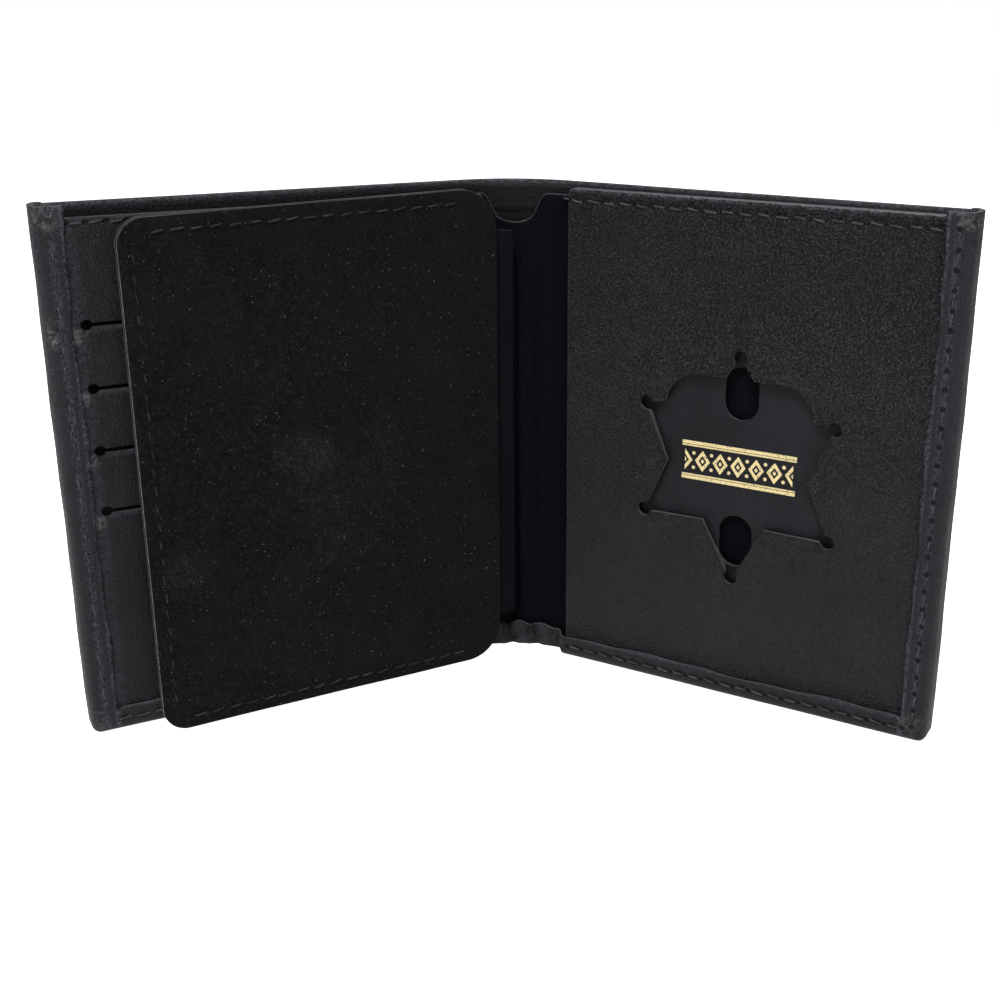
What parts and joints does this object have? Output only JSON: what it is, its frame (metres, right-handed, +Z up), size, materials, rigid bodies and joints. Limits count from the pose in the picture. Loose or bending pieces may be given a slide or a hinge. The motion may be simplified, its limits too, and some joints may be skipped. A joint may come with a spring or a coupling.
{
  "type": "id badge wallet",
  "caption": "Folding leather badge wallet, standing open: card pockets on one half, a star-shaped badge recess on the other, and a suede flap with an ID window on the fold.",
  "frame": {"origin": "middle of the standing wallet's footprint, on the surface it stands on", "axes": "+Z up along the fold line, the open side with the badge and card pockets faces -Y, the card half lies towards -X"},
  "size_m": [0.1878, 0.054, 0.115],
  "materials": {
    "cover_leather": "semi-gloss black grain",
    "facing_leather": "satin black fine grain",
    "divider_leather": "satin black",
    "suede": "matte black nap",
    "lining_fabric": "matte black woven",
    "board": "matte black fibre board",
    "clear_film": "clear vinyl",
    "thread": "waxed black thread"
  },
  "bodies": {
    "card_half": {"outer_cover_left": "cover_leather", "outer_cover_spine": "cover_leather", "cover_lining_left": "lining_fabric", "cover_lining_spine": "lining_fabric", "divider_left": "divider_leather", "divider_spine": "divider_leather", "card_pocket_ply_1": "lining_fabric", "card_pocket_ply_2": "lining_fabric", "card_pocket_ply_3": "lining_fabric", "card_pocket_ply_4": "lining_fabric", "card_facing": "facing_leather", "stitching_left": "thread", "flap_hinge_tape": "lining_fabric"},
    "badge_half": {"outer_cover_right": "cover_leather", "cover_lining_right": "lining_fabric", "divider_right": "divider_leather", "badge_backing": "facing_leather", "recess_board": "board", "badge_facing": "facing_leather", "stitching_right": "thread"},
    "flap": {"flap_suede_ply": "suede", "flap_window_ply": "divider_leather", "id_window": "clear_film", "stitching_flap": "thread"}
  },
  "joints": [
    {"name": "fold", "type": "hinge", "parent": "card_half", "child": "badge_half", "pos_m": [0, 0.01965, 0], "axis": [0, 0, 1], "range_deg": [-117, 57], "deforming": ["outer_cover_spine", "cover_lining_spine", "divider_spine", "flap_hinge_tape"]},
    {"name": "flap_turn", "type": "hinge", "parent": "card_half", "child": "flap", "pos_m": [0, 0.01965, 0], "axis": [0, 0, 1], "range_deg": [-2, 117], "deforming": ["flap_hinge_tape"]}
  ]
}
